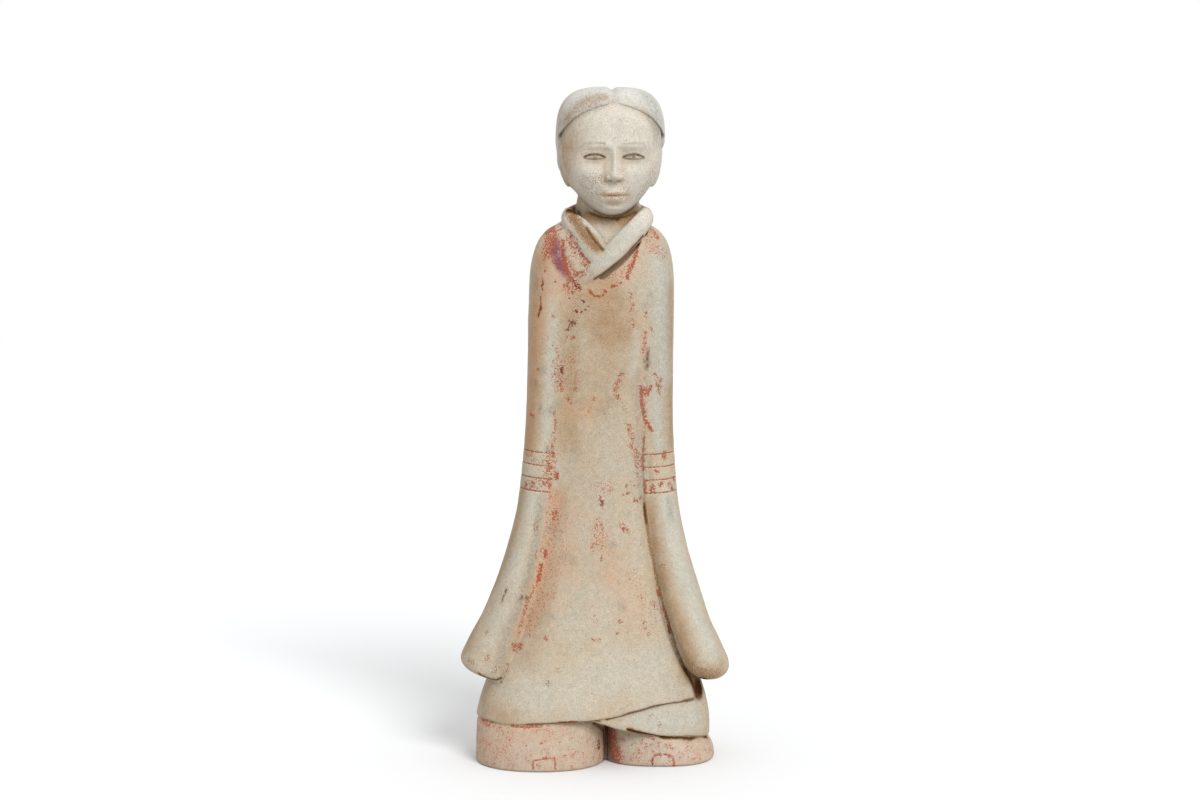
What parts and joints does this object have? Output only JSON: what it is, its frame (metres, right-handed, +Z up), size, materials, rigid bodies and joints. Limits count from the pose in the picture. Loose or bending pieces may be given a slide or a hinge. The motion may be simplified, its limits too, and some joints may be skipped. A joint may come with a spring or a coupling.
{
  "type": "terracotta dancer figure",
  "caption": "Standing earthenware figure with sleeved arms hanging and flaring wide over a wrapped robe and belled trousers, free-standing on its own flat foot, for display",
  "frame": {"origin": "on the floor plane, where the axis of the body meets the flat underside of the foot", "axes": "+Z up along the figure's height, the figure faces -Y, its left side is +X"},
  "size_m": [0.2169, 0.1241, 0.54],
  "materials": {
    "terracotta": "matt unglazed fired clay, grey-buff, with worn traces of red and orange paint"
  },
  "bodies": {
    "root": {"dancer_figure": "terracotta"}
  },
  "joints": []
}
